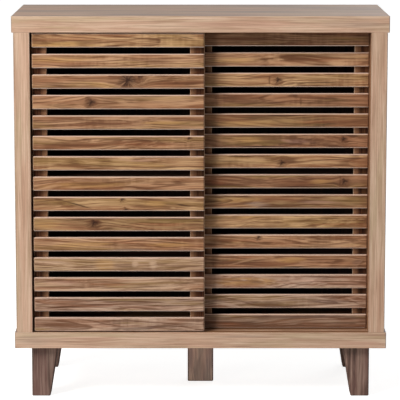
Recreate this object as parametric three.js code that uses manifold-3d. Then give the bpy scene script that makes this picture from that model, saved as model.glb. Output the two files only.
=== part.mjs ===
// Shoe cabinet: a thick-board carcass on four tapered legs and a centre leg, closed by two
// slatted doors that slide past each other in routed grooves.
// Millimetres, +Z up. The front faces -Y and the origin is on the floor under the middle.
import * as THREE from "three";
import { mergeVertices } from "three/addons/utils/BufferGeometryUtils.js";
import Module from "manifold-3d";

const wasm = await Module();
wasm.setup();

// Driving dimensions
const cabinetWidth = 800;
const cabinetDepth = 350;
const boardThick = 35;
const sideInset = 4; // the top and bottom boards stand out this far past the sides
const openingHeight = 646;
const legHeight = 109;
const edgeEase = 0.6; // small flat along every carcass board edge
const legEase = 1.5;
const fitGap = 0.3; // room left round a piece that sits in a cut

// Carcass levels and planes
const frontPlane = -cabinetDepth / 2;
const backPlane = cabinetDepth / 2;
const bottomBoardBase = legHeight;
const openingBase = bottomBoardBase + boardThick;
const openingTop = openingBase + openingHeight;
const cabinetTop = openingTop + boardThick;
const sideOuter = cabinetWidth / 2 - sideInset;
const sideInner = sideOuter - boardThick;

// Back panel, let into a step cut round the back of the four carcass boards
const backThick = 6;
const backSetIn = 2; // how far the panel lies in front of the back plane
const backStep = 8; // how far the step reaches into each board

// Divider and shelves
const innerThick = 18;
const dividerFront = -98;
const shelfFront = -97;
const shelfSideGap = 1;
const shelfBases = { lower: 270, middle: 458, upper: 624 };

// Doors
const doorWidth = 367;
const slatCount = 15;
const slatHeight = 30;
const slatThick = 10;
const slatEase = 1.6;
const doorGap = 1.7; // room over and under a door
const stileWidth = 31;
const stileThick = 20;
const doorRows = {
  left_door: { leftEdge: -358, front: -171 },
  right_door: { leftEdge: -6.5, front: -136 },
};

// Grooves and what runs in them
const grooveWidth = 8;
const bottomGrooveDepth = 8;
const topGrooveDepth = 12;
const pegBodyRadius = 5;
const pegBodyLength = 18;
const pegTipRadius = 3.4;
const pegTipLength = 11.5;
const pegTipEase = 1;
const pegSides = 24;
const shoeThick = 7;
const shoeLength = 26;
const shoePlugLength = 16;
const shoePlugHeight = 14;
const shoeCornerRadius = 3;

// Legs
const legTopWidth = 57;
const legFootWidth = 39.5;
const legInsetX = 35;
const legInsetY = 17;
const centreLegDepth = 42;

// Materials
function wood(color, roughness) {
  return new THREE.MeshStandardMaterial({ color, roughness, metalness: 0 });
}
const carcassWood = wood(0xcda98a, 0.55);
const slatWood = wood(0x9c7450, 0.6);
const stileWood = wood(0x5a3a24, 0.65);
const innerWood = wood(0x4a3324, 0.75);
const legWood = wood(0x755a4d, 0.6);
const nylon = new THREE.MeshStandardMaterial({ color: 0x2a2622, roughness: 0.45, metalness: 0 });

function named(name, geometry, material) {
  const mesh = new THREE.Mesh(geometry, material);
  mesh.name = name;
  return mesh;
}

// A board from its low corner to its high corner, with every edge eased by a small flat.
function easedBoard(low, high, ease) {
  const [x0, y0, z0] = low;
  const [x1, y1, z1] = high;
  const outline = new THREE.Shape();
  outline.moveTo(x0 + 2 * ease, y0 + ease);
  outline.lineTo(x1 - 2 * ease, y0 + ease);
  outline.lineTo(x1 - ease, y0 + 2 * ease);
  outline.lineTo(x1 - ease, y1 - 2 * ease);
  outline.lineTo(x1 - 2 * ease, y1 - ease);
  outline.lineTo(x0 + 2 * ease, y1 - ease);
  outline.lineTo(x0 + ease, y1 - 2 * ease);
  outline.lineTo(x0 + ease, y0 + 2 * ease);
  const geometry = new THREE.ExtrudeGeometry(outline, {
    depth: z1 - z0 - 2 * ease,
    bevelThickness: ease,
    bevelSize: ease,
    bevelSegments: 1,
    steps: 1,
  });
  return geometry.translate(0, 0, z0 + ease);
}

function plainBlock(low, high) {
  const size = high.map((value, i) => value - low[i]);
  const middle = high.map((value, i) => (value + low[i]) / 2);
  return new THREE.BoxGeometry(...size).translate(...middle);
}

function asSolid(geometry) {
  const shape = geometry.clone();
  shape.deleteAttribute("normal");
  shape.deleteAttribute("uv");
  const merged = mergeVertices(shape, 1e-4);
  return new wasm.Manifold(
    new wasm.Mesh({
      numProp: 3,
      vertProperties: merged.attributes.position.array,
      triVerts: new Uint32Array(merged.index.array),
    }),
  );
}

function asGeometry(solid) {
  const mesh = solid.getMesh();
  const geometry = new THREE.BufferGeometry();
  geometry.setAttribute("position", new THREE.BufferAttribute(mesh.vertProperties, 3));
  geometry.setIndex(new THREE.BufferAttribute(mesh.triVerts, 1));
  geometry.computeVertexNormals();
  return geometry;
}

function cutAway(geometry, cutters) {
  const left = cutters.reduce((solid, cutter) => solid.subtract(asSolid(cutter)), asSolid(geometry));
  return asGeometry(left);
}

// The space behind the boards that the back panel is let into.
function backStepCutter() {
  const reachX = sideInner + backStep + fitGap;
  const frontOfPanel = backPlane - backSetIn - backThick - fitGap;
  return plainBlock(
    [-reachX, frontOfPanel, openingBase - backStep - fitGap],
    [reachX, backPlane + backStep, openingTop + backStep + fitGap],
  );
}

// One groove for each door, under or over the middle of its stiles.
function grooveCutters(low, high) {
  return Object.values(doorRows).map(({ front }) => {
    const middle = front + slatThick + stileThick / 2;
    return plainBlock(
      [-sideInner, middle - grooveWidth / 2, low],
      [sideInner, middle + grooveWidth / 2, high],
    );
  });
}

function carcassBoards() {
  const halfWidth = cabinetWidth / 2;
  const step = backStepCutter();
  const top = easedBoard(
    [-halfWidth, frontPlane, openingTop],
    [halfWidth, backPlane, cabinetTop],
    edgeEase,
  );
  const bottom = easedBoard(
    [-halfWidth, frontPlane, bottomBoardBase],
    [halfWidth, backPlane, openingBase],
    edgeEase,
  );
  const topGrooves = grooveCutters(openingTop - boardThick, openingTop + topGrooveDepth);
  const bottomGrooves = grooveCutters(openingBase - bottomGrooveDepth, openingTop);
  const boards = [
    named("top_panel", cutAway(top, [step, ...topGrooves]), carcassWood),
    named("bottom_panel", cutAway(bottom, [step, ...bottomGrooves]), carcassWood),
  ];
  for (const [side, sign] of [["left", -1], ["right", 1]]) {
    const edges = [sign * sideOuter, sign * sideInner].sort((a, b) => a - b);
    const board = easedBoard(
      [edges[0], frontPlane, openingBase],
      [edges[1], backPlane, openingTop],
      edgeEase,
    );
    boards.push(named(`side_panel_${side}`, cutAway(board, [step]), carcassWood));
  }
  return boards;
}

function backPanel() {
  const reachX = sideInner + backStep;
  const panel = easedBoard(
    [-reachX, backPlane - backSetIn - backThick, openingBase - backStep],
    [reachX, backPlane - backSetIn, openingTop + backStep],
    edgeEase,
  );
  return named("back_panel", panel, innerWood);
}

function centreDivider() {
  const back = backPlane - backSetIn - backThick - fitGap;
  const board = easedBoard(
    [-innerThick / 2, dividerFront, openingBase],
    [innerThick / 2, back, openingTop],
    edgeEase,
  );
  return named("centre_divider", board, innerWood);
}

function shelves() {
  const back = backPlane - backSetIn - backThick - fitGap;
  const nearX = innerThick / 2 + shelfSideGap;
  const farX = sideInner - shelfSideGap;
  const made = [];
  for (const [level, base] of Object.entries(shelfBases)) {
    const top = base + innerThick;
    const left = easedBoard([-farX, shelfFront, base], [-nearX, back, top], edgeEase);
    const right = easedBoard([nearX, shelfFront, base], [farX, back, top], edgeEase);
    made.push(named(`shelf_left_${level}`, left, innerWood));
    made.push(named(`shelf_right_${level}`, right, innerWood));
  }
  return made;
}

// A corner leg: its two outer faces are upright and its two inner faces lean in to the foot.
function cornerLeg(signX, signY) {
  const outerX = cabinetWidth / 2 - legInsetX;
  const outerY = cabinetDepth / 2 - legInsetY;
  const leg = easedBoard(
    [outerX - legTopWidth, outerY - legTopWidth, 0],
    [outerX, outerY, legHeight],
    legEase,
  );
  const corners = leg.attributes.position;
  for (let i = 0; i < corners.count; i++) {
    const rise = corners.getZ(i) / legHeight;
    const share = (legFootWidth + (legTopWidth - legFootWidth) * rise) / legTopWidth;
    corners.setX(i, signX * (outerX - (outerX - corners.getX(i)) * share));
    corners.setY(i, signY * (outerY - (outerY - corners.getY(i)) * share));
  }
  return signX * signY < 0 ? turnedInsideOut(leg) : leg;
}

// Mirroring turns every face round, so each triangle is wound the other way again.
function turnedInsideOut(geometry) {
  const shape = geometry.index ? geometry.toNonIndexed() : geometry;
  const corners = shape.attributes.position;
  for (let i = 0; i < corners.count; i += 3) {
    const second = [corners.getX(i + 1), corners.getY(i + 1), corners.getZ(i + 1)];
    corners.setXYZ(i + 1, corners.getX(i + 2), corners.getY(i + 2), corners.getZ(i + 2));
    corners.setXYZ(i + 2, ...second);
  }
  shape.computeVertexNormals();
  return shape;
}

function legs() {
  const centreLeg = easedBoard(
    [-legTopWidth / 2, -centreLegDepth / 2, 0],
    [legTopWidth / 2, centreLegDepth / 2, legHeight],
    legEase,
  );
  return [
    named("leg_front_left", cornerLeg(-1, -1), legWood),
    named("leg_front_right", cornerLeg(1, -1), legWood),
    named("leg_rear_left", cornerLeg(-1, 1), legWood),
    named("leg_rear_right", cornerLeg(1, 1), legWood),
    named("leg_centre", centreLeg, legWood),
  ];
}

// Stile with a round hole in its top end for the peg and a slot in its bottom end for the shoe.
// Door pieces are placed from the door's lower left front corner, on the opening's base.
function stile(leftEdge) {
  const low = doorGap;
  const high = openingHeight - doorGap;
  const middleX = leftEdge + stileWidth / 2;
  const middleY = slatThick + stileThick / 2;
  const board = easedBoard(
    [leftEdge, slatThick, low],
    [leftEdge + stileWidth, slatThick + stileThick, high],
    edgeEase,
  );
  const holeDepth = pegBodyLength + fitGap;
  const holeRadius = pegBodyRadius + fitGap;
  const hole = new THREE.CylinderGeometry(holeRadius, holeRadius, 2 * holeDepth, pegSides);
  hole.rotateX(Math.PI / 2).translate(middleX, middleY, high);
  const slot = plainBlock(
    [middleX - shoePlugLength / 2 - fitGap, middleY - shoeThick / 2 - fitGap, -low],
    [
      middleX + shoePlugLength / 2 + fitGap,
      middleY + shoeThick / 2 + fitGap,
      low + shoePlugHeight + fitGap,
    ],
  );
  return cutAway(board, [hole, slot]);
}

// Nylon peg: a body pushed into the stile's top end and a thinner tip that runs in the groove.
function topPeg(middleX) {
  const shoulder = openingHeight - doorGap;
  const tip = shoulder + pegTipLength;
  const profile = [
    new THREE.Vector2(0, shoulder - pegBodyLength),
    new THREE.Vector2(pegBodyRadius, shoulder - pegBodyLength),
    new THREE.Vector2(pegBodyRadius, shoulder),
    new THREE.Vector2(pegTipRadius, shoulder),
    new THREE.Vector2(pegTipRadius, tip - pegTipEase),
    new THREE.Vector2(pegTipRadius - pegTipEase, tip),
    new THREE.Vector2(0, tip),
  ];
  const peg = new THREE.LatheGeometry(profile, pegSides);
  return peg.rotateX(Math.PI / 2).translate(middleX, slatThick + stileThick / 2, 0);
}

// Nylon shoe: a plug in the stile's bottom end and a longer runner with rounded corners below.
function bottomShoe(middleX) {
  const under = fitGap - bottomGrooveDepth;
  const halfLength = shoeLength / 2;
  const halfPlug = shoePlugLength / 2;
  const r = shoeCornerRadius;
  const outline = new THREE.Shape();
  outline.moveTo(-halfLength + r, under);
  outline.lineTo(halfLength - r, under);
  outline.absarc(halfLength - r, under + r, r, -Math.PI / 2, 0, false);
  outline.lineTo(halfLength, doorGap - fitGap);
  outline.lineTo(halfPlug, doorGap - fitGap);
  outline.lineTo(halfPlug, doorGap + shoePlugHeight);
  outline.lineTo(-halfPlug, doorGap + shoePlugHeight);
  outline.lineTo(-halfPlug, doorGap - fitGap);
  outline.lineTo(-halfLength, doorGap - fitGap);
  outline.absarc(-halfLength + r, under + r, r, Math.PI, 1.5 * Math.PI, false);
  const shoe = new THREE.ExtrudeGeometry(outline, {
    depth: shoeThick,
    bevelEnabled: false,
    curveSegments: 5,
  });
  shoe.rotateX(Math.PI / 2);
  return shoe.translate(middleX, slatThick + stileThick / 2 + shoeThick / 2, 0);
}

function slidingDoor(door, { leftEdge, front }) {
  const group = new THREE.Group();
  group.position.set(leftEdge, front, openingBase);
  const highestSlat = openingHeight - doorGap - slatHeight;
  const pitch = (highestSlat - doorGap) / (slatCount - 1);
  for (let row = 0; row < slatCount; row++) {
    const base = highestSlat - pitch * row;
    const slat = easedBoard([0, 0, base], [doorWidth, slatThick, base + slatHeight], slatEase);
    group.add(named(`${door}_slat_${String(row + 1).padStart(2, "0")}`, slat, slatWood));
  }
  for (const [end, stileLeft] of [["left", 0], ["right", doorWidth - stileWidth]]) {
    const middleX = stileLeft + stileWidth / 2;
    group.add(named(`${door}_stile_${end}`, stile(stileLeft), stileWood));
    group.add(named(`${door}_top_peg_${end}`, topPeg(middleX), nylon));
    group.add(named(`${door}_bottom_shoe_${end}`, bottomShoe(middleX), nylon));
  }
  return group;
}

const cabinet = new THREE.Group();
cabinet.add(...carcassBoards(), backPanel(), centreDivider(), ...shelves(), ...legs());
for (const [door, place] of Object.entries(doorRows)) cabinet.add(slidingDoor(door, place));

export default cabinet;
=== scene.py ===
import math
import random

import bmesh
import bpy
from mathutils import Matrix, Vector


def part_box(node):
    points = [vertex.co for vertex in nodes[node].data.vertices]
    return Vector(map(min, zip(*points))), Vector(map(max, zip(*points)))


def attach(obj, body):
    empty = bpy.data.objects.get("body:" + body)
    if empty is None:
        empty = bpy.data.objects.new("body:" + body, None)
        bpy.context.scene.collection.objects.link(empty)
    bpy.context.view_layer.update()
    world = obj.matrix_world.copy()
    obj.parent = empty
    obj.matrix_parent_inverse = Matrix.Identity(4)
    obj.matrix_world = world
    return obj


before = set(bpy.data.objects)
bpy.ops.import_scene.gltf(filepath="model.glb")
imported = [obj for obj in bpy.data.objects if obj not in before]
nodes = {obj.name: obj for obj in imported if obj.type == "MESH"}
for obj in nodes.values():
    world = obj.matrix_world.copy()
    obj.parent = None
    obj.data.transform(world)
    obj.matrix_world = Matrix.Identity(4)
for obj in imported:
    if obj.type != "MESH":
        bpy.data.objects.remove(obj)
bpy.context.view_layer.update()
scene = bpy.context.scene
mm = 0.001
print("cabinet frame loaded,", len(nodes), "nodes")


# small helpers for node trees

def put(tree, kind, inputs=None, **settings):
    made = tree.nodes.new("ShaderNode" + kind)
    for name, value in settings.items():
        setattr(made, name, value)
    for name, value in (inputs or {}).items():
        plug(tree, made.inputs[name], value)
    return made


def plug(tree, socket, value):
    if isinstance(value, bpy.types.NodeSocket):
        tree.links.new(value, socket)
    else:
        socket.default_value = value


def calc(tree, operation, *values, clamp=False):
    return put(tree, "Math", dict(enumerate(values)), operation=operation, use_clamp=clamp).outputs[0]


def times(tree, a, b, clamp=False):
    return calc(tree, "MULTIPLY", a, b, clamp=clamp)


def inverse(tree, value):
    return calc(tree, "SUBTRACT", 1.0, value)


def calcVector(tree, operation, a, b):
    return put(tree, "VectorMath", {0: a, 1: b}, operation=operation).outputs[0]


def parts(tree, vector):
    return put(tree, "SeparateXYZ", {"Vector": vector}).outputs


def straight(tree, vector):
    # Each part without its sign
    return put(tree, "VectorMath", {0: vector}, operation="ABSOLUTE").outputs[0]


def centred(tree, shade):
    # A noise colour as a vector round nought
    return calcVector(tree, "SUBTRACT", shade, (0.5, 0.5, 0.5))


def sway(tree, value, amount, start):
    # Adds a noise value, taken round nought and times amount, to start
    return calc(tree, "MULTIPLY_ADD", calc(tree, "SUBTRACT", value, 0.5), amount, start)


def ramp(tree, value, low, high):
    spans = {"Value": value, "From Min": low, "From Max": high}
    return put(tree, "MapRange", spans, interpolation_type="SMOOTHSTEP").outputs["Result"]


def blendColour(tree, share, a, b):
    return put(tree, "Mix", {0: share, 6: a, 7: b}, data_type="RGBA").outputs[2]


def noise(tree, vector, stretch, detail=2.0, roughness=0.5, output="Fac"):
    spot = calcVector(tree, "MULTIPLY", vector, stretch)
    made = put(tree, "TexNoise", {"Vector": spot, "Scale": 1.0, "Detail": detail, "Roughness": roughness})
    return made.outputs[output]


def newGroup(name, takes, gives):
    tree = bpy.data.node_groups.new(name, "ShaderNodeTree")
    for label, start in takes.items():
        kind = "NodeSocketVector" if isinstance(start, tuple) else "NodeSocketFloat"
        socket = tree.interface.new_socket(label, in_out="INPUT", socket_type=kind)
        socket.default_value = start
    for label, kind in gives.items():
        tree.interface.new_socket(label, in_out="OUTPUT", socket_type="NodeSocket" + kind)
    return tree, tree.nodes.new("NodeGroupInput").outputs, tree.nodes.new("NodeGroupOutput").inputs


def colour(r, g, b):
    # 0-255 screen values to the linear colour that the shader takes
    def linear(v):
        v /= 255
        return v / 12.92 if v <= 0.04045 else ((v + 0.055) / 1.055) ** 2.4
    return (linear(r), linear(g), linear(b), 1.0)


# Effects that the woods share. In knot, mark and plankFigure the grain runs along X.

def makeKnot():
    # Bends the grain round a knot and gives its dark, radially split core and the stained wood round it
    flatten = (0.72, 0.0, 1.0)      # a knot is longer along the grain and goes right through the board
    shake = (0.016, 0.0, 0.016)
    bend = -0.85
    fade = -0.35
    takes = {"Vector": (0.0, 0.0, 0.0), "Centre": (0.0, 0.0, 0.0), "Size": 0.01}
    tree, ins, outs = newGroup("knot", takes, {"Vector": "Vector", "Core": "Float", "Halo": "Float"})
    away = calcVector(tree, "SUBTRACT", ins["Vector"], ins["Centre"])
    flat = calcVector(tree, "MULTIPLY", away, flatten)
    shaken = centred(tree, noise(tree, away, (70.0, 70.0, 70.0), detail=3.0, output="Color"))
    loose = calcVector(tree, "ADD", flat, calcVector(tree, "MULTIPLY", shaken, shake))
    reach = put(tree, "VectorMath", {0: loose}, operation="LENGTH").outputs["Value"]
    reach = calc(tree, "DIVIDE", reach, ins["Size"])
    near = calc(tree, "EXPONENT", times(tree, times(tree, reach, reach), fade))
    lift = times(tree, parts(tree, away)["Z"], times(tree, near, bend))
    shift = put(tree, "CombineXYZ", {"Z": lift}).outputs[0]
    plug(tree, outs["Vector"], calcVector(tree, "ADD", ins["Vector"], shift))
    heading = put(tree, "VectorMath", {0: flat}, operation="NORMALIZE").outputs[0]
    spokes = ramp(tree, noise(tree, heading, (3.2, 3.2, 3.2), detail=3.0, roughness=0.7), 0.36, 0.56)
    core = inverse(tree, ramp(tree, reach, 0.25, 1.0))
    ragged = calc(tree, "MULTIPLY_ADD", spokes, 0.75, 0.25)
    heart = inverse(tree, ramp(tree, reach, 0.1, 0.4))
    plug(tree, outs["Core"], calc(tree, "MAXIMUM", times(tree, core, ragged), heart))
    halo = inverse(tree, ramp(tree, reach, 0.6, 2.0))
    plug(tree, outs["Halo"], times(tree, halo, calc(tree, "MULTIPLY_ADD", spokes, 0.7, 0.3)))
    return tree


def makeMark():
    # A soft-edged patch of lighter or darker wood, drawn out along the grain and tilted by Slant
    ruffle = 0.006
    takes = {"Vector": (0.0, 0.0, 0.0), "Wobble": (0.0, 0.0, 0.0), "Centre": (0.0, 0.0, 0.0),
             "Length": 0.1, "Height": 0.01, "Slant": 0.0}
    tree, ins, outs = newGroup("mark", takes, {"Mask": "Float"})
    away = parts(tree, calcVector(tree, "SUBTRACT", ins["Vector"], ins["Centre"]))
    wobble = parts(tree, ins["Wobble"])
    rise = calc(tree, "SUBTRACT", away["Z"], times(tree, away["X"], ins["Slant"]))
    along = calc(tree, "ADD", calc(tree, "DIVIDE", away["X"], ins["Length"]), wobble["X"])
    up = calc(tree, "DIVIDE", calc(tree, "MULTIPLY_ADD", wobble["Z"], ruffle, rise), ins["Height"])
    far = calc(tree, "ADD", times(tree, along, along), times(tree, up, up))
    plug(tree, outs["Mask"], inverse(tree, ramp(tree, calc(tree, "SQRT", far), 0.18, 0.62)))
    return tree


# how often each part of the figure changes in a metre: along the grain, then twice across it
figureStretch = {
    "wander": (2.6, 16.0, 16.0), "rings": (9.0, 70.0, 70.0), "streaks": (5.0, 150.0, 150.0),
    "fine": (22.0, 900.0, 900.0), "blotches": (9.0, 26.0, 26.0), "chatter": (130.0, 9.0, 14.0),
    "chatterPatches": (5.0, 3.0, 3.0), "strands": (7.0, 330.0, 330.0), "drift": (4.5, 48.0, 48.0),
    "pores": (60.0, 1500.0, 1500.0), "wobble": (14.0, 60.0, 60.0),
}


def makePlankFigure():
    # Growth rings round a slightly crooked pith, with streaks, blotches, cross figure, fibres and pores
    takes = {"Vector": (0.0, 0.0, 0.0), "Ring Width": 0.004, "Pith Depth": 0.05, "Pith Height": 0.02,
             "Lean": 0.03, "Waviness": 0.012, "Streaks": 0.6, "Blotches": 0.5, "Bands": 0.5, "Chatter": 0.2}
    gives = {"Tone": "Float", "Lines": "Float", "Fibres": "Float", "Pale Fibres": "Float", "Drift": "Float",
             "Pores": "Float", "Wobble": "Vector", "Height": "Float"}
    tree, ins, outs = newGroup("plankFigure", takes, gives)
    spot, size = ins["Vector"], figureStretch
    wander = centred(tree, noise(tree, spot, size["wander"], output="Color"))
    swing = put(tree, "VectorMath", {0: wander, "Scale": ins["Waviness"]}, operation="SCALE").outputs[0]
    swung = calcVector(tree, "ADD", spot, swing)
    bent = parts(tree, swung)
    depth = calc(tree, "ADD", bent["Y"], ins["Pith Depth"])
    depth = calc(tree, "MULTIPLY_ADD", bent["X"], ins["Lean"], depth)
    height = calc(tree, "ADD", bent["Z"], ins["Pith Height"])
    square = calc(tree, "ADD", times(tree, depth, depth), times(tree, height, height))
    turns = calc(tree, "DIVIDE", calc(tree, "SQRT", square), ins["Ring Width"])
    turns = calc(tree, "MULTIPLY_ADD", noise(tree, spot, size["rings"]), 0.7, turns)
    part = calc(tree, "FRACT", turns)
    late = times(tree, ramp(tree, part, 0.4, 0.9), inverse(tree, ramp(tree, part, 0.9, 1.0)))
    ringTone = put(tree, "TexNoise", {"W": times(tree, turns, 0.45), "Scale": 1.0, "Detail": 2.0},
                   noise_dimensions="1D").outputs["Fac"]
    streak = noise(tree, swung, size["streaks"], detail=4.0, roughness=0.62)
    fine = noise(tree, swung, size["fine"])
    blotch = noise(tree, spot, size["blotches"], detail=3.0)
    chatter = noise(tree, spot, size["chatter"])
    where = ramp(tree, noise(tree, spot, size["chatterPatches"], detail=1.0), 0.5, 0.62)
    tone = sway(tree, streak, ins["Streaks"], 0.5)
    tone = sway(tree, blotch, ins["Blotches"], tone)
    tone = sway(tree, ringTone, ins["Bands"], tone)
    cross = times(tree, times(tree, calc(tree, "SUBTRACT", chatter, 0.5), where), ins["Chatter"])
    tone = calc(tree, "ADD", tone, cross)
    plug(tree, outs["Tone"], sway(tree, fine, 0.35, tone))
    # some rings are hardly marked at all
    plug(tree, outs["Lines"], times(tree, late, ramp(tree, ringTone, 0.35, 0.6)))
    strands = noise(tree, swung, size["strands"], detail=3.0)
    plug(tree, outs["Fibres"], ramp(tree, strands, 0.54, 0.68))
    plug(tree, outs["Pale Fibres"], inverse(tree, ramp(tree, strands, 0.34, 0.46)))
    plug(tree, outs["Drift"], noise(tree, spot, size["drift"], detail=3.0))
    pores = noise(tree, spot, size["pores"], detail=1.0)
    pores = times(tree, ramp(tree, pores, 0.62, 0.72), ramp(tree, part, 0.75, 0.25))
    plug(tree, outs["Pores"], pores)
    ruffle = noise(tree, spot, size["wobble"], detail=3.0, output="Color")
    plug(tree, outs["Wobble"], centred(tree, ruffle))
    relief = calc(tree, "MULTIPLY_ADD", late, 0.5, times(tree, fine, 0.5))
    plug(tree, outs["Height"], calc(tree, "SUBTRACT", relief, pores))
    return tree


def makeEdgeTint():
    # Finds the rounded edges by how far a face turns away from the three straight directions; the edge
    # colour put there is partly rubbed wood and partly a painted highlight
    tree, ins, outs = newGroup("edgeWear", {"Amount": 1.0, "Breakup": 60.0}, {"Mask": "Float"})
    where = put(tree, "TexCoord")
    split = parts(tree, straight(tree, where.outputs["Normal"]))
    most = calc(tree, "MAXIMUM", calc(tree, "MAXIMUM", split["X"], split["Y"]), split["Z"])
    turned = ramp(tree, inverse(tree, most), 0.03, 0.26)
    spots = {"Vector": where.outputs["Object"], "Scale": ins["Breakup"], "Detail": 3.0}
    patchy = ramp(tree, put(tree, "TexNoise", spots).outputs["Fac"], 0.25, 0.6)
    plug(tree, outs["Mask"], times(tree, times(tree, turned, patchy), ins["Amount"], clamp=True))
    return tree


def makeSawnAndLitSides():
    # Pale sawn wood on the upper and lower edges (Edges) and on the two ends (Ends), partly a painted
    # highlight where those faces turn from the front. Hidden takes it off faces that are quite level, and
    # Under is the lower rounding alone, for a painted highlight in place of light from below
    takes = {"Edges": 1.0, "Ends": 0.3, "Hidden": 0.0}
    tree, ins, outs = newGroup("sawnSides", takes, {"Mask": "Float", "Under": "Float"})
    where = put(tree, "TexCoord")
    down = ramp(tree, parts(tree, where.outputs["Normal"])["Z"], -0.3, -0.6)
    split = parts(tree, straight(tree, where.outputs["Normal"]))
    edges = times(tree, ramp(tree, split["Z"], 0.15, 0.55), ins["Edges"])
    flat = ramp(tree, split["Z"], 0.8, 0.95)
    plug(tree, outs["Under"], times(tree, down, inverse(tree, flat)))
    level = times(tree, flat, ins["Hidden"])
    edges = calc(tree, "SUBTRACT", edges, level, clamp=True)
    ends = times(tree, ramp(tree, split["X"], 0.15, 0.55), ins["Ends"])
    uneven = noise(tree, where.outputs["Object"], (14.0, 40.0, 40.0), detail=3.0)
    both = times(tree, calc(tree, "MAXIMUM", edges, ends), calc(tree, "MULTIPLY_ADD", uneven, 0.6, 0.7))
    plug(tree, outs["Mask"], times(tree, both, 1.0, clamp=True))
    return tree


def makeTopShade():
    # Painted shade and painted reflection: faces that look up are greyed and darkened in patchy clouds,
    # standing in for the grazing light and grey sheen they get
    tree, ins, outs = newGroup("topFilm", {"Amount": 1.0}, {"Mask": "Float"})
    where = put(tree, "TexCoord")
    up = parts(tree, where.outputs["Normal"])["Z"]
    cloudy = ramp(tree, noise(tree, where.outputs["Object"], (3.0, 48.0, 9.0), detail=4.0), 0.4, 0.6)
    film = times(tree, ramp(tree, up, 0.7, 0.98), calc(tree, "MULTIPLY_ADD", cloudy, 0.7, 0.35))
    plug(tree, outs["Mask"], times(tree, film, ins["Amount"], clamp=True))
    return tree


def makeDarkEndLine():
    # A dark line along the edges of a board's two ends
    takes = {"Centre": (0.0, 0.0, 0.0), "Half": (0.4, 0.17, 0.02), "Width": 0.002}
    tree, ins, outs = newGroup("bandSeam", takes, {"Mask": "Float"})
    place = put(tree, "TexCoord").outputs["Object"]
    away = straight(tree, calcVector(tree, "SUBTRACT", place, ins["Centre"]))
    past = parts(tree, calcVector(tree, "SUBTRACT", away, ins["Half"]))
    near = [ramp(tree, calc(tree, "DIVIDE", past[axis], ins["Width"]), -1.0, -0.25) for axis in "XYZ"]
    plug(tree, outs["Mask"], times(tree, near[0], calc(tree, "MAXIMUM", near[1], near[2])))
    return tree


def makeEdgeHighlight():
    # Painted highlight towards one long edge of an upright, which leaves the rest of it looking shaded;
    # Edge is that edge's X
    tree, ins, outs = newGroup("paleEdge", {"Edge": 0.0, "Width": 0.016}, {"Mask": "Float"})
    across = parts(tree, put(tree, "TexCoord").outputs["Object"])["X"]
    away = calc(tree, "ABSOLUTE", calc(tree, "SUBTRACT", across, ins["Edge"]))
    plug(tree, outs["Mask"], inverse(tree, ramp(tree, calc(tree, "DIVIDE", away, ins["Width"]), 0.0, 1.0)))
    return tree


opening = {
    "Half Width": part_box("side_panel_right")[0].x + 0.3 * mm,
    "Floor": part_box("bottom_panel")[1].z - 0.2 * mm,
    "Ceiling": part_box("top_panel")[0].z + 0.7 * mm,
}


def makeShadedInsideFaces():
    # Faces that close the two cupboards: everything inside the frame's opening, and its very edge. The
    # darker inside colour put there is painted shade, with a painted shadow line round the opening
    tree, ins, outs = newGroup("insideFaces", opening, {"Mask": "Float"})
    spot = parts(tree, put(tree, "TexCoord").outputs["Object"])
    within = calc(tree, "LESS_THAN", calc(tree, "ABSOLUTE", spot["X"]), ins["Half Width"])
    above = calc(tree, "GREATER_THAN", spot["Z"], ins["Floor"])
    below = calc(tree, "LESS_THAN", spot["Z"], ins["Ceiling"])
    plug(tree, outs["Mask"], times(tree, within, times(tree, above, below)))
    return tree


knotGroup = makeKnot()
markGroup = makeMark()
plankFigure = makePlankFigure()
edgeWear = makeEdgeTint()
sawnSides = makeSawnAndLitSides()
topFilm = makeTopShade()
bandSeam = makeDarkEndLine()
paleEdge = makeEdgeHighlight()
insideFaces = makeShadedInsideFaces()


def useGroup(tree, group, **inputs):
    made = tree.nodes.new("ShaderNodeGroup")
    made.node_tree = group
    for name, value in inputs.items():
        plug(tree, made.inputs[name], value)
    return made.outputs


grainTurns = {"x": (0.0, 0.0, 0.0), "z": (0.0, math.pi / 2, 0.0)}     # turns the grain to run along X or Z
strength = {"halo": 0.72, "core": 0.95, "paleEdge": 0.75, "fibreClouds": 0.35}
surface = {"toneRoughness": 0.12, "poreRoughness": 0.2, "reliefDepth": 0.4}


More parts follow.
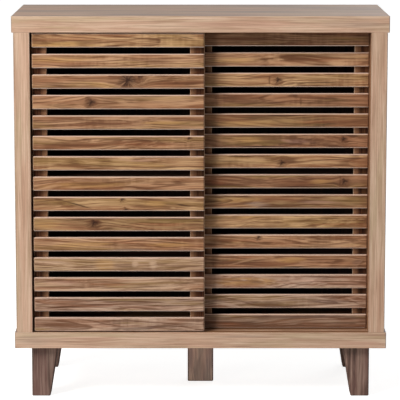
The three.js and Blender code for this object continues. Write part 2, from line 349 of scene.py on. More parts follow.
def makeWood(name, look, low, high):
    material = bpy.data.materials.new(name)
    material.use_nodes = True
    tree = material.node_tree
    shader = tree.nodes["Principled BSDF"]
    place = put(tree, "TexCoord").outputs["Object"]
    turned = put(tree, "Mapping", {"Vector": place, "Rotation": grainTurns[look["grain"]],
                                   "Location": look["shift"]}).outputs[0]

    def spotOn(along, up):
        # A point on the front face, given as shares of the length and the height
        at = Vector((low.x + along * (high.x - low.x), low.y, low.z + up * (high.z - low.z)))
        return tuple(at + Vector(look["shift"]))

    stains = []
    for along, up, size in look.get("knots", []):
        knot = useGroup(tree, knotGroup, Vector=turned, Centre=spotOn(along, up), Size=size * mm)
        turned = knot["Vector"]
        stains += [(knot["Halo"], strength["halo"], look["line"]),
                   (knot["Core"], strength["core"], look["knot"])]
    figure = useGroup(tree, plankFigure, Vector=turned, **{
        "Ring Width": look["ringWidth"], "Pith Depth": look["pith"][0], "Pith Height": look["pith"][1],
        "Lean": look["lean"], "Waviness": look["waviness"], "Streaks": look["streaks"],
        "Blotches": look["blotches"], "Bands": look["bands"], "Chatter": look["chatter"]})
    tones = put(tree, "ValToRGB", {"Fac": figure["Tone"]})
    steps = tones.color_ramp.elements
    steps[0].position, steps[0].color = 0.5 - look["spread"], look["shade"]
    steps[1].position, steps[1].color = 0.5 + look["spread"], look["light"]
    steps.new(0.5).color = look["body"]
    base = tones.outputs["Color"]
    drift = times(tree, ramp(tree, figure["Drift"], 0.46, 0.62), look["drift"])
    base = blendColour(tree, drift, base, look["redder"])
    drift = times(tree, ramp(tree, figure["Drift"], 0.48, 0.36), look["drift"])
    base = blendColour(tree, drift, base, look["greener"])
    for kind, along, up, length, tall, slant in look.get("marks", []):
        mark = useGroup(tree, markGroup, Vector=turned, Wobble=figure["Wobble"], Centre=spotOn(along, up),
                        Length=length * mm, Height=tall * mm, Slant=slant)["Mask"]
        share, tint = markKinds[kind]
        base = blendColour(tree, times(tree, mark, share), base, tint or look["light"])
    for mask, share, tint in ((figure["Lines"], look["lines"], look["line"]),
                              (figure["Fibres"], look["fibres"], look["line"]),
                              (figure["Pale Fibres"], look["paleFibres"], look["light"]),
                              (figure["Pores"], look["pores"], look["line"]), *stains):
        base = blendColour(tree, times(tree, mask, share), base, tint)
    # painted shade and reflection on faces that look up
    if look.get("film"):
        film = useGroup(tree, topFilm, Amount=look["film"])["Mask"]
        base = blendColour(tree, film, base, look["filmColour"])
    # painted highlight towards one long edge of an upright
    if look.get("paleEdge"):
        edge, width = look["paleEdge"]
        near = useGroup(tree, paleEdge, Edge=edge, Width=width)["Mask"]
        base = blendColour(tree, times(tree, near, strength["paleEdge"]), base, look["worn"])
    # pale sawn colour, partly a painted highlight, and a painted highlight on the lower rounding
    if look.get("sawn"):
        edges, ends, hidden = look["sawn"]
        sawn = useGroup(tree, sawnSides, Edges=edges, Ends=ends, Hidden=hidden)
        base = blendColour(tree, sawn["Mask"], base, look["raw"])
        base = blendColour(tree, times(tree, sawn["Under"], look["under"]), base, look["rawUnder"])
    if look.get("seam"):
        spans = {"Centre": tuple((low + high) / 2), "Half": tuple((high - low) / 2)}
        seam = times(tree, useGroup(tree, bandSeam, **spans)["Mask"], look["seam"])
        base = blendColour(tree, seam, base, look["seamColour"])
    # painted shade: faces inside the opening, and its edge, take the darker inside colour
    if look.get("inside"):
        base = blendColour(tree, useGroup(tree, insideFaces)["Mask"], base,
                           blendColour(tree, figure["Fibres"], look["inside"], look["line"]))
    if look.get("rear"):
        # pressed fibreboard, left bare on the face that looks back
        turnedBack = parts(tree, put(tree, "TexCoord").outputs["Normal"])["Y"]
        pressed = noise(tree, place, (260.0, 260.0, 260.0), detail=5.0, roughness=0.75)
        cloudy = ramp(tree, noise(tree, place, (7.0, 7.0, 7.0), detail=3.0), 0.35, 0.65)
        dark, pale, cloud = look["rear"]
        board = blendColour(tree, ramp(tree, pressed, 0.36, 0.64), dark, pale)
        board = blendColour(tree, times(tree, cloudy, strength["fibreClouds"]), board, cloud)
        base = blendColour(tree, ramp(tree, turnedBack, 0.4, 0.6), base, board)
    # edge colour on the rounded edges: partly rubbing, partly a painted highlight
    worn = useGroup(tree, edgeWear, Amount=look["wear"])["Mask"]
    base = blendColour(tree, worn, base, look["worn"])
    plug(tree, shader.inputs["Base Color"], base)
    rough = sway(tree, figure["Tone"], surface["toneRoughness"], look["roughness"])
    rough = calc(tree, "MULTIPLY_ADD", figure["Pores"], surface["poreRoughness"], rough)
    plug(tree, shader.inputs["Roughness"], rough)
    bump = put(tree, "Bump", {"Strength": look["relief"], "Distance": surface["reliefDepth"] * mm,
                              "Height": figure["Height"]})
    plug(tree, shader.inputs["Normal"], bump.outputs["Normal"])
    shader.inputs["Specular IOR Level"].default_value = look["sheen"]
    return material


def givePiece(name, material):
    for slot in nodes[name].material_slots:
        slot.material = material


def giveWood(name, prefix, look):
    givePiece(name, makeWood(prefix + name, look, *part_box(name)))


# the marks a board may carry: how strong, and its colour (None is the wood's own light tone)
markKinds = {
    "light": (0.55, None), "dark": (0.62, colour(88, 54, 34)), "shade": (0.4, colour(112, 74, 50)),
    "rust": (0.45, colour(150, 88, 56)), "gold": (0.5, colour(196, 150, 92)),
    "grey": (0.5, colour(164, 142, 126)), "plum": (0.5, colour(104, 76, 68)),
    "pink": (0.4, colour(196, 150, 130)), "crack": (0.8, colour(58, 34, 22)),
    "greener": (0.45, colour(184, 160, 122)),
}

# pale oak boards
oak = {
    "grain": "x", "ringWidth": 3.4 * mm, "pith": (0.12, 0.05), "lean": 0.012, "waviness": 0.016,
    "streaks": 1.5, "blotches": 0.4, "bands": 0.9, "chatter": 0.05, "spread": 0.24,
    "shade": colour(181, 147, 122), "body": colour(201, 169, 144), "light": colour(217, 188, 163),
    "line": colour(150, 114, 90), "lines": 0.5, "fibres": 0.5, "paleFibres": 0.5, "pores": 0.35,
    "knot": colour(110, 76, 54),
    "redder": colour(202, 158, 134), "greener": colour(186, 164, 130), "drift": 0.45,
    "worn": colour(216, 186, 158), "wear": 0.3, "roughness": 0.5, "relief": 0.12, "sheen": 0.3,
    # the top colour greys and darkens faces that look up: painted shade and reflection
    "film": 0.9, "filmColour": colour(152, 135, 127), "seam": 0.8, "seamColour": colour(104, 90, 84),
    # inside: the darker brown of the painted shade inside the opening
    "inside": colour(136, 96, 66),
}
boards = {
    "top_panel": {"grain": "x", "shift": (0.0, 0.0, 0.0), "marks": [
        ("pink", 0.07, 0.62, 120, 9, 0), ("greener", 0.12, 0.32, 160, 7, 0),
        ("light", 0.4, 0.4, 200, 6, 0.01), ("pink", 0.62, 0.5, 260, 12, 0),
        ("greener", 0.3, 0.85, 300, 6, 0), ("grey", 0.9, 0.5, 160, 14, 0.01),
        ("light", 0.75, 0.25, 180, 5, 0)]},
    "bottom_panel": {"grain": "x", "shift": (1.7, 0.03, 0.02), "pith": (0.09, 0.08), "marks": [
        ("grey", 0.05, 0.5, 120, 22, 0), ("pink", 0.2, 0.6, 200, 8, 0),
        ("light", 0.45, 0.7, 260, 5, 0.01), ("pink", 0.5, 0.15, 90, 6, 0),
        ("greener", 0.72, 0.15, 120, 8, 0), ("pink", 0.93, 0.3, 110, 12, 0),
        ("grey", 0.6, 0.75, 160, 6, 0)]},
    "side_panel_left": {"grain": "z", "shift": (3.1, 0.05, 0.01)},
    "side_panel_right": {"grain": "z", "shift": (5.3, -0.04, 0.03), "pith": (0.1, 0.09)},
}
for name, own in boards.items():
    giveWood(name, "oak_", {**oak, **own})
print("oak boards finished")

# dark inside boards: partly their own dark colour, partly painted shade, so the cupboards look black
# through the gaps between the slats
inner = {
    **oak, "shade": colour(38, 23, 16), "body": colour(54, 33, 23), "light": colour(70, 46, 33),
    "line": colour(26, 15, 10), "lines": 0.4, "redder": colour(62, 33, 22), "greener": colour(52, 38, 24),
    "worn": colour(88, 63, 46), "wear": 0.5, "roughness": 0.62, "relief": 0.15,
    "film": 0, "seam": 0, "inside": None,
}
innerBoards = {
    "back_panel": {"grain": "z", "shift": (2.2, 0.0, 0.1), "ringWidth": 6 * mm,
                   "rear": (colour(118, 86, 58), colour(150, 114, 80), colour(134, 106, 80))},
    "centre_divider": {"grain": "z", "shift": (4.2, 0.1, 0.0)},
}
for side in ("left", "right"):
    for count, level in enumerate(("lower", "middle", "upper")):
        shift = (0.9 * count + (0.4 if side == "left" else 2.9), 0.02 * count, 0.03)
        innerBoards[f"shelf_{side}_{level}"] = {"grain": "x", "shift": shift}
for name, own in innerBoards.items():
    giveWood(name, "darkened_", {**inner, **own})
print("inside boards finished")

# grey-brown legs
legWood = {
    **inner, "grain": "z", "ringWidth": 5 * mm, "lean": 0.09, "waviness": 0.03, "streaks": 1.0,
    "blotches": 0.9, "bands": 0.8, "spread": 0.24, "shade": colour(84, 62, 54), "body": colour(113, 88, 78),
    "light": colour(146, 120, 108), "line": colour(70, 48, 40), "lines": 0.45, "fibres": 0.3, "drift": 0.4,
    # the legs' edge colour is dark, so their rounded edges come out darker
    "redder": colour(122, 86, 78), "greener": colour(116, 100, 84), "worn": colour(60, 46, 40), "wear": 0.6,
    "roughness": 0.58, "relief": 0.2, "sheen": 0.35,
}
legs = {
    "leg_front_left": {"pith": (0.05, 0.03)},
    "leg_front_right": {"pith": (0.06, 0.03), "body": colour(124, 95, 84), "light": colour(158, 130, 116)},
    "leg_rear_left": {"pith": (0.07, 0.03)},
    "leg_rear_right": {"pith": (0.08, 0.03)},
    # the centre leg is lighter than the leg wood: partly painted light for the shade it stands in under the
    # cabinet
    "leg_centre": {"pith": (0.09, 0.03), "shade": colour(94, 70, 60), "body": colour(122, 92, 76),
                   "light": colour(156, 126, 106), "line": colour(72, 48, 38)},
}
for count, (name, own) in enumerate(legs.items()):
    giveWood(name, "grey_", {**legWood, "shift": (1.3 * count + 0.2, 0.013 * count, 0.021 * count), **own})
print("legs finished")

# brown slats, no two boards alike
woods = {
    "honey": {"light": colour(206, 166, 122), "body": colour(166, 125, 88), "shade": colour(118, 80, 50)},
    "tan": {"light": colour(197, 154, 117), "body": colour(159, 118, 85), "shade": colour(113, 75, 49)},
    "sand": {"light": colour(213, 179, 150), "body": colour(184, 148, 119), "shade": colour(137, 104, 79)},
    "rust": {"light": colour(190, 147, 112), "body": colour(154, 114, 83), "shade": colour(107, 71, 49)},
    "olive": {"light": colour(182, 146, 104), "body": colour(145, 108, 76), "shade": colour(101, 70, 45)},
    "ash": {"light": colour(201, 169, 146), "body": colour(164, 131, 109), "shade": colour(116, 88, 71)},
    "chestnut": {"light": colour(172, 128, 95), "body": colour(134, 95, 68), "shade": colour(90, 58, 39)},
    "moss": {"light": colour(164, 127, 88), "body": colour(127, 92, 62), "shade": colour(86, 60, 38)},
    "walnut": {"light": colour(172, 142, 120), "body": colour(136, 107, 87), "shade": colour(92, 66, 51)},
    "umber": {"light": colour(166, 126, 94), "body": colour(131, 94, 68), "shade": colour(86, 56, 38)},
}
slatWood = {
    **oak, "line": colour(94, 57, 35), "lines": 0.7, "fibres": 0.7, "pores": 0.5,
    "knot": colour(50, 26, 16),
    "redder": colour(160, 105, 73), "greener": colour(158, 126, 76),
    # the pale sawn colour is partly a painted highlight on faces that turn from the front; the under colour
    # is a painted highlight in place of light from below
    "sawn": (0.95, 0.12, 0.0), "raw": colour(206, 176, 158),       # edges, ends, taken off level faces
    "under": 0.7, "rawUnder": colour(236, 220, 210), "worn": colour(222, 188, 160), "wear": 0.2,
    "ringWidth": 4.2 * mm, "waviness": 0.05, "streaks": 1.7, "blotches": 1.1, "bands": 1.2,
    "chatter": 0.5, "spread": 0.26, "roughness": 0.55, "relief": 0.25, "sheen": 0.2,
    "film": 0, "seam": 0, "inside": None,
}

# Each slat from the top: its wood, knots (along 0-1, up 0-1, size in mm) and marks
# (kind, along, up, length and height in mm, rise per length)
slats = {
    "left_door": [
        ("honey", [], [
            ("gold", 0.2, 0.2, 150, 12, 0), ("rust", 0.16, 0.55, 130, 8, 0),
            ("light", 0.5, 0.62, 150, 8, -0.09), ("dark", 0.56, 0.72, 150, 3, -0.09),
            ("light", 0.92, 0.75, 60, 12, -0.1), ("crack", 0.9, 0.7, 34, 2.5, -0.12)]),
        ("tan", [], [
            ("gold", 0.16, 0.6, 150, 14, 0.02), ("shade", 0.7, 0.5, 110, 16, 0)]),
        ("tan", [(0.555, 0.6, 19), (0.63, 0.9, 7)], [
            ("dark", 0.1, 0.3, 60, 4, 0), ("shade", 0.3, 0.8, 90, 5, -0.04),
            ("dark", 0.92, 0.3, 34, 6, 0), ("gold", 0.42, 0.3, 70, 10, 0)]),
        ("tan", [(0.345, 0.5, 8)], [
            ("dark", 0.32, 0.6, 12, 24, 0), ("shade", 0.43, 0.5, 60, 40, 0),
            ("light", 0.58, 0.5, 46, 22, 0), ("light", 0.84, 0.55, 90, 22, 0)]),
        ("rust", [], [
            ("shade", 0.45, 0.4, 110, 12, 0), ("shade", 0.2, 0.7, 120, 12, 0),
            ("shade", 0.62, 0.5, 90, 14, 0), ("gold", 0.75, 0.5, 80, 8, 0)]),
        ("tan", [(0.91, 0.85, 3)], [
            ("dark", 0.58, 0.72, 240, 5, -0.005), ("dark", 0.26, 0.3, 150, 4, 0.03),
            ("light", 0.4, 0.15, 130, 6, 0.02), ("light", 0.1, 0.72, 80, 12, 0),
            ("rust", 0.7, 0.4, 160, 6, 0)]),
        ("honey", [], [
            ("pink", 0.6, 0.75, 150, 8, 0), ("gold", 0.68, 0.4, 110, 7, 0),
            ("dark", 0.4, 0.3, 90, 3, 0), ("crack", 0.75, 0.96, 170, 2, 0),
            ("light", 0.9, 0.6, 60, 16, 0)]),
        ("tan", [], [
            ("gold", 0.3, 0.4, 200, 14, 0), ("light", 0.88, 0.5, 130, 6, 0.07),
            ("dark", 0.82, 0.36, 150, 3, 0.06), ("dark", 0.6, 0.25, 100, 3, 0)]),
        ("honey", [(0.52, 0.84, 3.5), (0.54, 0.1, 3)], [
            ("light", 0.34, 0.6, 110, 22, 0), ("crack", 0.26, 0.45, 90, 4, -0.27),
            ("dark", 0.15, 0.8, 20, 8, 0), ("gold", 0.7, 0.5, 60, 16, 0),
            ("crack", 0.88, 0.42, 36, 5, -0.15), ("light", 0.94, 0.7, 60, 7, -0.12),
            ("light", 0.81, 0.2, 14, 8, 0)]),
        ("olive", [(0.355, 0.6, 8)], [
            ("dark", 0.38, 0.5, 18, 20, 0), ("gold", 0.06, 0.5, 60, 20, 0),
            ("rust", 0.72, 0.5, 180, 7, 0), ("shade", 0.28, 0.3, 70, 6, 0),
            ("light", 0.53, 0.2, 50, 8, 0)]),
        ("tan", [], [
            ("shade", 0.07, 0.6, 60, 26, 0), ("gold", 0.3, 0.5, 110, 10, 0.04),
            ("rust", 0.55, 0.7, 110, 10, -0.03), ("gold", 0.8, 0.5, 90, 12, 0),
            ("grey", 0.55, 0.08, 120, 6, 0), ("plum", 0.85, 0.08, 90, 5, 0)]),
        ("sand", [], [
            ("gold", 0.42, 0.5, 40, 30, 0), ("shade", 0.3, 0.35, 60, 6, 0),
            ("dark", 0.54, 0.35, 90, 5, -0.06), ("light", 0.6, 0.55, 16, 16, 0),
            ("light", 0.7, 0.5, 16, 24, 0), ("dark", 0.85, 0.3, 90, 3, 0.04)]),
        ("sand", [], [
            ("rust", 0.46, 0.52, 100, 7, 0), ("light", 0.7, 0.3, 120, 10, 0),
            ("light", 0.36, 0.15, 150, 6, 0), ("dark", 0.62, 0.46, 70, 2.5, 0),
            ("crack", 0.74, 0.96, 120, 2, 0), ("pink", 0.15, 0.6, 80, 12, 0)]),
        ("ash", [], [
            ("crack", 0.18, 0.3, 90, 3, 0), ("plum", 0.35, 0.5, 60, 6, 0),
            ("dark", 0.66, 0.72, 90, 4, 0), ("plum", 0.9, 0.8, 80, 9, 0.05),
            ("pink", 0.62, 0.3, 150, 7, 0.01), ("light", 0.26, 0.14, 40, 5, -0.05),
            ("dark", 0.9, 0.4, 90, 2.5, 0.03)]),
        ("ash", [], [
            ("light", 0.18, 0.15, 90, 6, 0.08), ("light", 0.45, 0.25, 60, 5, 0.1),
            ("plum", 0.69, 0.3, 40, 5, 0.3), ("grey", 0.6, 0.2, 100, 7, 0),
            ("shade", 0.2, 0.75, 120, 10, 0), ("light", 0.9, 0.2, 90, 6, -0.04)]),
    ],
    "right_door": [
        # The top slat is umber, darker than its neighbours: partly painted shade for the top panel's shadow
        ("umber", [], [
            ("gold", 0.82, 0.6, 90, 5, -0.08), ("dark", 0.7, 0.7, 110, 3, -0.06),
            ("shade", 0.3, 0.5, 150, 12, 0)]),
        ("tan", [], [
            ("gold", 0.25, 0.5, 120, 14, 0), ("rust", 0.74, 0.5, 110, 12, 0),
            ("shade", 0.8, 0.8, 110, 6, 0)]),
        ("honey", [(0.47, 0.5, 6)], [
            ("light", 0.25, 0.55, 160, 14, 0), ("dark", 0.28, 0.8, 110, 2.5, 0),
            ("dark", 0.42, 0.5, 5, 20, 0), ("crack", 0.7, 0.32, 160, 2, 0),
            ("shade", 0.88, 0.6, 30, 20, 0), ("light", 0.68, 0.7, 110, 8, 0)]),
        ("chestnut", [], [
            ("dark", 0.57, 0.85, 14, 10, 0), ("dark", 0.6, 0.4, 5, 22, 0),
            ("light", 0.63, 0.5, 40, 10, 0.1), ("shade", 0.25, 0.6, 100, 14, 0),
            ("dark", 0.8, 0.45, 100, 3, 0)]),
        ("moss", [], [
            ("crack", 0.45, 0.86, 220, 2.5, 0), ("dark", 0.74, 0.84, 50, 4, 0),
            ("gold", 0.3, 0.35, 150, 10, 0), ("rust", 0.7, 0.4, 120, 8, 0)]),
        ("chestnut", [(0.855, 0.65, 5)], [
            ("gold", 0.3, 0.6, 80, 12, 0), ("crack", 0.42, 0.1, 110, 4, 0),
            ("dark", 0.56, 0.86, 22, 5, 0), ("pink", 0.58, 0.5, 70, 10, -0.05),
            ("shade", 0.8, 0.5, 90, 14, 0), ("shade", 0.05, 0.5, 60, 30, 0)]),
        ("honey", [(0.495, 0.4, 6)], [
            ("light", 0.15, 0.6, 80, 14, 0), ("light", 0.36, 0.6, 70, 16, 0),
            ("dark", 0.25, 0.45, 150, 3, -0.03), ("crack", 0.24, 0.86, 60, 3, 0),
            ("dark", 0.55, 0.5, 30, 12, 0), ("crack", 0.82, 0.62, 150, 2.5, 0.05),
            ("light", 0.75, 0.35, 130, 8, 0)]),
        ("chestnut", [(0.86, 0.5, 7)], [
            ("gold", 0.72, 0.5, 60, 12, 0), ("dark", 0.835, 0.5, 4, 28, 0),
            ("dark", 0.28, 0.5, 120, 14, 0), ("crack", 0.58, 0.1, 60, 3, 0),
            ("rust", 0.12, 0.5, 60, 16, 0)]),
        ("olive", [], [
            ("gold", 0.25, 0.6, 110, 12, 0), ("dark", 0.6, 0.86, 110, 6, 0),
            ("pink", 0.7, 0.45, 120, 8, -0.02), ("shade", 0.82, 0.25, 40, 12, 0),
            ("light", 0.8, 0.8, 40, 6, 0), ("grey", 0.35, 0.3, 60, 12, 0)]),
        ("honey", [], [
            ("light", 0.3, 0.3, 160, 10, 0), ("gold", 0.3, 0.8, 60, 6, 0),
            ("dark", 0.72, 0.7, 130, 3, 0.03), ("rust", 0.8, 0.3, 110, 5, 0.03),
            ("light", 0.6, 0.3, 60, 10, 0)]),
        ("tan", [(0.36, 0.82, 4)], [
            ("light", 0.72, 0.3, 190, 5, 0.0), ("dark", 0.72, 0.12, 110, 4, 0),
            ("dark", 0.1, 0.3, 70, 4, 0), ("rust", 0.25, 0.6, 120, 8, 0)]),
        ("rust", [], [
            ("light", 0.27, 0.5, 70, 5, 0.25), ("rust", 0.22, 0.6, 60, 4, 0.2),
            ("dark", 0.1, 0.6, 40, 4, -0.2), ("gold", 0.55, 0.6, 70, 14, 0),
            ("crack", 0.56, 0.1, 60, 5, 0), ("dark", 0.68, 0.55, 40, 4, -0.2),
            ("plum", 0.94, 0.4, 34, 18, 0.2), ("dark", 0.48, 0.85, 30, 4, 0)]),
        ("ash", [], [
            ("gold", 0.26, 0.5, 150, 20, 0), ("plum", 0.26, 0.55, 60, 5, 0),
            ("plum", 0.35, 0.45, 30, 8, 0), ("light", 0.56, 0.65, 14, 16, 0),
            ("pink", 0.66, 0.6, 90, 12, 0), ("dark", 0.8, 0.25, 110, 3, 0),
            ("rust", 0.52, 0.45, 60, 6, -0.08)]),
        ("ash", [], [
            ("dark", 0.25, 0.5, 100, 4, -0.24), ("light", 0.2, 0.2, 80, 8, -0.2),
            ("plum", 0.76, 0.5, 90, 9, -0.03), ("light", 0.5, 0.6, 90, 9, 0),
            ("dark", 0.92, 0.45, 44, 2.5, -0.3), ("dark", 0.96, 0.7, 30, 2.5, -0.25),
            ("light", 0.93, 0.55, 40, 3, -0.28)]),
        ("walnut", [], [
            ("grey", 0.17, 0.8, 40, 5, 0), ("plum", 0.6, 0.85, 220, 6, 0),
            ("dark", 0.5, 0.15, 330, 5, 0), ("light", 0.3, 0.6, 110, 9, 0),
            ("light", 0.75, 0.55, 90, 8, 0), ("rust", 0.17, 0.3, 50, 4, 0)]),
    ],
}
# painted shade: the top slat of each door keeps its level faces dark, under the top panel
topSlatInShade = (0.9, 0.12, 1.2)                        # its level faces stay dark
# painted shade at the right end of every right-door slat, where the door closes on the frame
endShade = ("shade", 1.0, 0.5, 34, 80, 0)            # where the right door closes on the frame
slatGrain = {"shift": ((-6, 6), (-0.02, 0.02), (-0.02, 0.02)), "lean": (0.0, 0.05),
             "depth": (0.12, 0.24), "height": (-0.05, 0.05)}
grainPick = random.Random(7)
for door, row in slats.items():
    for count, (wood, knots, marks) in enumerate(row, 1):
        name = f"{door}_slat_{count:02d}"
        low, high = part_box(name)
        shift = tuple(grainPick.uniform(*span) for span in slatGrain["shift"])
        lean = grainPick.choice((-1, 1)) * grainPick.uniform(*slatGrain["lean"])
        depth = grainPick.uniform(*slatGrain["depth"]) - lean * (shift[0] + (low.x + high.x) / 2)
        height = -(low.z + high.z) / 2 + grainPick.uniform(*slatGrain["height"])
        look = {**slatWood, **woods[wood], "shift": shift, "knots": knots, "marks": marks,
                "pith": (depth, height), "lean": lean}
        # painted shade on the top slat's level faces
        if count == 1:
            look["sawn"] = topSlatInShade
        # each right-door slat gets the painted end shade
        if door == "right_door":
            look["marks"] = marks + [endShade]
        giveWood(name, "slat_", look)
print("slats finished")

# dark stiles, their brown partly painted shade from the slats in front of them, with a painted highlight
# towards the edge that faces the middle of the door
stileWood = {
    **slatWood, "grain": "z", "light": colour(104, 68, 44), "body": colour(76, 45, 27),
    "shade": colour(50, 27, 15), "line": colour(40, 20, 12), "redder": colour(84, 42, 24),
    "greener": colour(76, 52, 30), "sawn": (0.3, 0.8, 0.0), "raw": colour(200, 168, 142), "under": 0.0,
    "worn": colour(158, 118, 88), "chatter": 0.1, "waviness": 0.02, "lean": 0.01, "sheen": 0.1,
}
edgeHighlightWidth = 16 * mm
for door in ("left_door", "right_door"):
    for count, end in enumerate(("left", "right")):
        name = f"{door}_stile_{end}"
        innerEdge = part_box(name)[1 - count].x
        own = {"shift": (0.7 + 1.9 * count, 0.0, 0.05 * count), "pith": (0.1, 0.02 + 0.03 * count),
               "paleEdge": (innerEdge, edgeHighlightWidth)}
        giveWood(name, "stile_", {**stileWood, **own})
print("stiles finished")


def makePlain(name, look):
    # Moulded or plated piece with a fine mottled surface and slightly rubbed edges
    material = bpy.data.materials.new(name)
    material.use_nodes = True
    tree = material.node_tree
    shader = tree.nodes["Principled BSDF"]
    spot = put(tree, "TexCoord").outputs["Object"]
    mottle = noise(tree, spot, (look["mottle"],) * 3, detail=3.0)
    base = blendColour(tree, ramp(tree, mottle, 0.35, 0.65), look["dark"], look["light"])
    worn = useGroup(tree, edgeWear, Amount=look["wear"])["Mask"]
    plug(tree, shader.inputs["Base Color"], blendColour(tree, worn, base, look["worn"]))
    plug(tree, shader.inputs["Roughness"], sway(tree, mottle, 0.2, look["roughness"]))
    bump = put(tree, "Bump", {"Strength": look["relief"], "Distance": 0.1 * mm, "Height": mottle})
    plug(tree, shader.inputs["Normal"], bump.outputs["Normal"])
    shader.inputs["Metallic"].default_value = look["metal"]
    return material


nylonLook = {"dark": colour(30, 27, 24), "light": colour(46, 42, 38), "worn": colour(92, 86, 80),
             "wear": 0.5, "roughness": 0.45, "metal": 0.0, "mottle": 900.0, "relief": 0.15}
nickelLook = {"dark": colour(150, 146, 140), "light": colour(186, 182, 175), "worn": colour(214, 210, 204),
              "wear": 0.5, "roughness": 0.32, "metal": 1.0, "mottle": 700.0, "relief": 0.15}
nylon = makePlain("nylon", nylonLook)
nickel = makePlain("nickel", nickelLook)
guides = [name for name in nodes if "_peg_" in name or "_shoe_" in name]
for name in guides:
    givePiece(name, nylon)
print("guides finished")

# widths in mm, angle in degrees
rounding = {"wood": 0.6, "woodSteps": 3, "guide": 0.2, "guideSteps": 1, "angle": 28, "joinWithin": 0.02}


def makeJoinedFaces():
    # Joins each mesh's loose faces, so that the bevel finds their edges
    tree = bpy.data.node_groups.new("joinedFaces", "GeometryNodeTree")
    tree.is_modifier = True
    tree.interface.new_socket("Geometry", in_out="INPUT", socket_type="NodeSocketGeometry")
    tree.interface.new_socket("Geometry", in_out="OUTPUT", socket_type="NodeSocketGeometry")
    last = tree.nodes.new("NodeGroupInput").outputs[0]
    merge = tree.nodes.new("GeometryNodeMergeByDistance")
    merge.inputs["Distance"].default_value = rounding["joinWithin"] * mm
    tree.links.new(last, merge.inputs["Geometry"])
    last = merge.outputs["Geometry"]
    for stored in ("custom_normal", "sharp_edge", "sharp_face"):
        drop = tree.nodes.new("GeometryNodeRemoveAttribute")
        drop.inputs["Name"].default_value = stored
        tree.links.new(last, drop.inputs["Geometry"])
        last = drop.outputs["Geometry"]
    tree.links.new(last, tree.nodes.new("NodeGroupOutput").inputs[0])
    return tree


joinedFaces = makeJoinedFaces()


def roundEdges(piece, width, segments):
    piece.modifiers.new("joined", "NODES").node_group = joinedFaces
    bevel = piece.modifiers.new("rounded", "BEVEL")
    bevel.width = width * mm
    bevel.segments = segments
    bevel.limit_method = "ANGLE"
    bevel.angle_limit = math.radians(rounding["angle"])
    bevel.harden_normals = True


for name, piece in nodes.items():
    kind = "guide" if name in guides else "wood"
    roundEdges(piece, rounding[kind], rounding[kind + "Steps"])
print("edges rounded")


def lathePiece(name, profile, spots, axis, body, sides):
    # Turns a profile of (radius, rise), in mm, round an axis at every spot, all in one piece
    build = bmesh.new()
    turn = Vector((0, 0, 1)).rotation_difference(Vector(axis)).to_matrix().to_4x4()
    for spot in spots:
        rings = []
        for radius, rise in profile:
            angles = [2 * math.pi * i / sides for i in range(sides if radius else 1)]
            rings.append([build.verts.new((radius * mm * math.cos(a), radius * mm * math.sin(a), rise * mm))
                          for a in angles])
        for below, above in zip(rings, rings[1:]):
            for i in range(sides):
                j = (i + 1) % sides
                corners = [below[i % len(below)], below[j % len(below)],
                           above[j % len(above)], above[i % len(above)]]
                corners = list(dict.fromkeys(corners))      # a ring of one vertex is the middle of a cap
                if len(corners) > 2:
                    build.faces.new(corners)
        fresh = [v for ring in rings for v in ring]
        bmesh.ops.transform(build, matrix=Matrix.Translation(spot) @ turn, verts=fresh)
    bmesh.ops.recalc_face_normals(build, faces=build.faces)
    mesh = bpy.data.meshes.new(name)
    build.to_mesh(mesh)
    build.free()
    for face in mesh.polygons:
        face.use_smooth = True
    piece = bpy.data.objects.new(name, mesh)
    scene.collection.objects.link(piece)
    piece.data.materials.append(nickel)
    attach(piece, body)


# fixings, all in mm
shelfPin = {"radius": 2.5, "flange": 4.0, "flangeThick": 1.4, "reach": 7.5, "chamfer": 0.5, "start": 0.1,
            "gap": 1.0, "edgeIn": 40, "sides": 20}


def addShelfPins(shelf):
    # Four pins under each shelf: the flange against the upright, the peg under the board
    low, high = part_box(shelf)
    pin = shelfPin
    gap = pin["gap"] * mm
    profile = [(0, pin["start"]), (pin["flange"], pin["start"]), (pin["flange"], pin["flangeThick"]),
               (pin["radius"], pin["flangeThick"]), (pin["radius"], pin["reach"] - pin["chamfer"]),
               (pin["radius"] - pin["chamfer"], pin["reach"]), (0, pin["reach"])]
    rise = low.z - pin["flange"] * mm
    for end, x, axis in (("a", low.x - gap, (1, 0, 0)), ("b", high.x + gap, (-1, 0, 0))):
        spots = [Vector((x, y, rise)) for y in (low.y + pin["edgeIn"] * mm, high.y - pin["edgeIn"] * mm)]
        lathePiece(f"{shelf}_pins_{end}", profile, spots, axis, "carcass", pin["sides"])


for name in innerBoards:
    if name.startswith("shelf_"):
        addShelfPins(name)

backNail = {"radius": 2.2, "sunk": 0.2, "rim": 0.2, "rise": 0.7, "edgeIn": 4, "apart": 110, "sides": 16}


def addBackNails():
    # Evenly spaced round the back panel's edge and down its middle, into the divider
    low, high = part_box("back_panel")
    nail = backNail
    profile = [(0, -nail["sunk"]), (nail["radius"], -nail["sunk"]), (nail["radius"], nail["rim"]),
               (nail["radius"] * 0.72, nail["rise"] * 0.8), (0, nail["rise"])]
    inset = nail["edgeIn"] * mm
    left, right, bottom, top = low.x + inset, high.x - inset, low.z + inset, high.z - inset
    spots = []
    across = round((right - left) / (nail["apart"] * mm))
    upright = round((top - bottom) / (nail["apart"] * mm))
    for i in range(across + 1):
        x = left + (right - left) * i / across
        spots += [Vector((x, high.y, bottom)), Vector((x, high.y, top))]
    for i in range(1, upright):
        z = bottom + (top - bottom) * i / upright
        spots += [Vector((x, high.y, z)) for x in (left, 0.0, right)]
    lathePiece("back_panel_nails", profile, spots, (0, 1, 0), "carcass", nail["sides"])


addBackNails()

slatScrew = {"radius": 3.0, "sunk": 0.2, "rim": 0.1, "rise": 0.6, "socket": 1.2, "socketFloor": 0.1,
             "sides": 16}


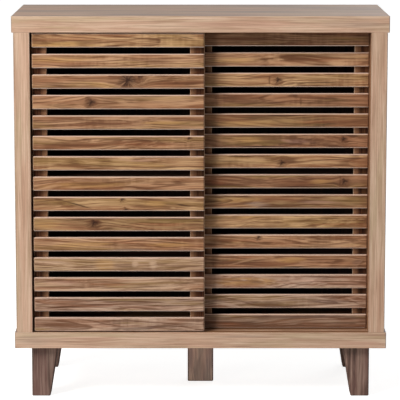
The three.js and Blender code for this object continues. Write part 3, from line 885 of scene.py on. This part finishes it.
def addSlatScrews(door):
    # One screw from the back of each stile into every slat
    screw = slatScrew
    profile = [(0, -screw["sunk"]), (screw["radius"], -screw["sunk"]), (screw["radius"], screw["rim"]),
               (screw["radius"] * 0.75, screw["rise"]), (screw["socket"], screw["rise"]),
               (screw["socket"] * 0.8, screw["socketFloor"] + 0.05), (0, screw["socketFloor"])]
    for end in ("left", "right"):
        stile = f"{door}_stile_{end}"
        low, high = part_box(stile)
        spots = []
        for count in range(1, len(slats[door]) + 1):
            bottom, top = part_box(f"{door}_slat_{count:02d}")
            spots.append(Vector(((low.x + high.x) / 2, high.y, (bottom.z + top.z) / 2)))
        lathePiece(stile + "_screws", profile, spots, (0, 1, 0), door, screw["sides"])


for door in slats:
    addSlatScrews(door)
print("fixings added")

# size in metres, drop in mm under the feet
floorLook = {"colour": (0.55, 0.55, 0.545, 1), "roughness": 0.9, "sheen": 0.1, "glow": 0.85, "size": 60,
             "drop": 0.2}


def makeFloor():
    mesh = bpy.data.meshes.new("floor")
    build = bmesh.new()
    bmesh.ops.create_grid(build, x_segments=2, y_segments=2, size=floorLook["size"])
    build.to_mesh(mesh)
    build.free()
    floor = bpy.data.objects.new("floor", mesh)
    scene.collection.objects.link(floor)
    material = bpy.data.materials.new("floorPaint")
    material.use_nodes = True
    tree = material.node_tree
    shader = tree.nodes["Principled BSDF"]
    shader.inputs["Base Color"].default_value = floorLook["colour"]
    shader.inputs["Roughness"].default_value = floorLook["roughness"]
    shader.inputs["Specular IOR Level"].default_value = floorLook["sheen"]
    shader.inputs["Emission Color"].default_value = (1, 1, 1, 1)
    seen = put(tree, "LightPath").outputs["Is Camera Ray"]
    plug(tree, shader.inputs["Emission Strength"], times(tree, seen, floorLook["glow"]))
    # clear from underneath, so the cabinet can be looked at from below
    behind = put(tree, "NewGeometry").outputs["Backfacing"]
    clear = put(tree, "BsdfTransparent").outputs[0]
    both = put(tree, "MixShader", {0: behind, 1: shader.outputs[0], 2: clear}).outputs[0]
    tree.links.new(both, tree.nodes["Material Output"].inputs["Surface"])
    floor.location.z = -floorLook["drop"] * mm
    mesh.materials.append(material)


backdropLook = {"colour": (1.0, 0.99, 0.97, 1), "light": 0.2, "seen": 1.0}     # seen is for the camera


def makeWorld():
    world = bpy.data.worlds.new("studio")
    world.use_nodes = True
    tree = world.node_tree
    backdrop = tree.nodes["Background"]
    backdrop.inputs["Color"].default_value = backdropLook["colour"]
    seen = put(tree, "LightPath").outputs["Is Camera Ray"]
    extra = backdropLook["seen"] - backdropLook["light"]
    plug(tree, backdrop.inputs["Strength"], calc(tree, "MULTIPLY_ADD", seen, extra, backdropLook["light"]))
    scene.world = world


def towards(azimuth, rise):
    # Unit vector to a light; azimuth 0 is straight in front and positive to the right
    azimuth, rise = math.radians(azimuth), math.radians(rise)
    return Vector((math.sin(azimuth) * math.cos(rise), -math.cos(azimuth) * math.cos(rise), math.sin(rise)))


# what the lights are aimed at; each comes from a direction in degrees, away in metres
doors = Vector((0, -0.175, 0.45))
underneath = Vector((0, 0, 0.045))
lights = {
    "key": {"kind": "AREA", "from": (-50, 36), "away": 4.2, "aim": doors, "own": {
        "shape": "DISK", "size": 1.85, "energy": 178, "color": (1.0, 0.985, 0.96)}},
    "front": {"kind": "SUN", "from": (-40, 6), "away": 4, "aim": doors, "own": {
        "energy": 0.5, "angle": math.radians(16), "color": (1.0, 0.985, 0.965)}},
    "rear": {"kind": "SUN", "from": (155, 15), "away": 4, "aim": doors, "own": {
        "energy": 1.1, "angle": math.radians(40), "color": (0.97, 0.98, 1.0)}},
    "low": {"kind": "SPOT", "from": (0, 0), "away": 2.2, "aim": underneath, "own": {
        "energy": 100, "spot_size": math.radians(4), "spot_blend": 0.6, "shadow_soft_size": 0.02,
        "color": (1.0, 0.985, 0.965)}},
}


def addLight(name, look):
    lamp = bpy.data.lights.new(name, look["kind"])
    for key, value in look["own"].items():
        setattr(lamp, key, value)
    light = bpy.data.objects.new(name, lamp)
    back = towards(*look["from"])
    light.rotation_mode = "QUATERNION"
    light.rotation_quaternion = back.to_track_quat("Z", "Y")
    light.location = look["aim"] + back * look["away"]
    scene.collection.objects.link(light)


# away, rise, sideways and clip in metres, tilt in degrees, lens and sensor in mm
view = {"away": 5.045, "rise": 1.191, "sideways": -0.001, "tilt": 8.85, "lens": 207.8, "sensor": 36,
        "clip": 200}


def addCamera():
    data = bpy.data.cameras.new("front")
    data.lens = view["lens"]
    data.sensor_width = view["sensor"]
    camera = bpy.data.objects.new("front", data)
    camera.location = (view["sideways"], -view["away"], view["rise"])
    camera.rotation_euler = (math.radians(90 - view["tilt"]), 0, 0)
    data.clip_end = view["clip"]
    scene.collection.objects.link(camera)
    scene.camera = camera


makeFloor()
makeWorld()
for name, look in lights.items():
    addLight(name, look)
addCamera()
scene.view_settings.view_transform = "Standard"
print("stage, light and camera set")
